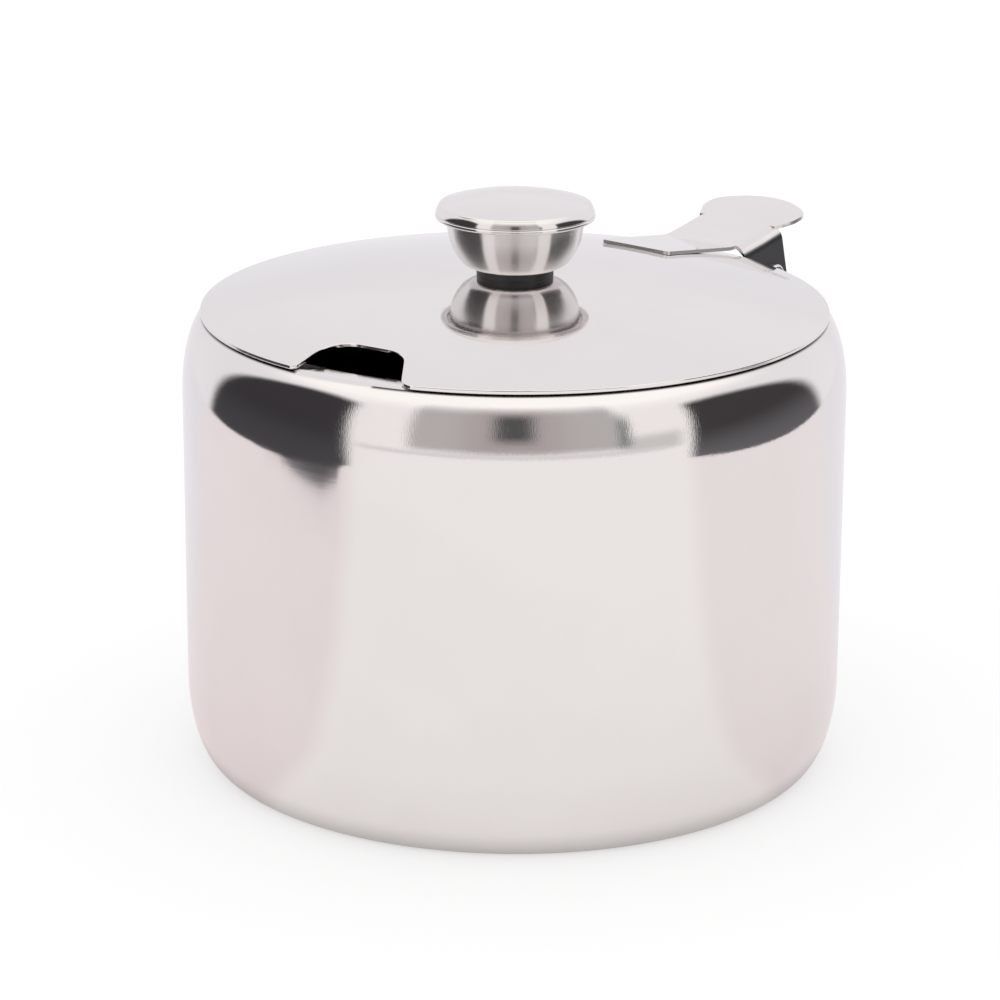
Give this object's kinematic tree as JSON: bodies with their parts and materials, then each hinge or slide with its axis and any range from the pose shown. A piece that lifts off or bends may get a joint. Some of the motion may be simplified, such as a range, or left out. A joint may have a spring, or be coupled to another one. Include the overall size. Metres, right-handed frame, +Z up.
{
  "type": "sugar pot with hinged lid",
  "caption": "Round straight-sided sugar pot in polished stainless steel with a hinged domed lid, spoon notch, thumb lever and turned-in shoulder.",
  "frame": {"origin": "centre of the pot's flat base, at the level it stands on", "axes": "+Z up along the pot's axis, +Y towards the hinge and the thumb lever, -Y towards the spoon notch"},
  "size_m": [0.09, 0.1057, 0.0783],
  "materials": {
    "polished_steel": "mirror polished stainless steel",
    "hinge_steel": "plain bright stainless steel",
    "fastener_steel": "bright steel",
    "dark_ring": "matt black heat-resisting plastic"
  },
  "bodies": {
    "pot": {"pot_body": "polished_steel", "hinge_bracket": "hinge_steel"},
    "lid": {"lid_plate": "polished_steel", "thumb_lever": "polished_steel", "hinge_pin": "hinge_steel", "knob_cap": "polished_steel", "knob_bowl": "polished_steel", "knob_spacer": "dark_ring", "knob_insert": "fastener_steel", "knob_screw": "fastener_steel", "spring_washer": "fastener_steel", "flat_washer": "fastener_steel"}
  },
  "joints": [
    {"name": "lid_hinge", "type": "hinge", "parent": "pot", "child": "lid", "pos_m": [0, 0.0508, 0.058], "axis": [-1, 0, 0], "range_deg": [0, 105]}
  ]
}
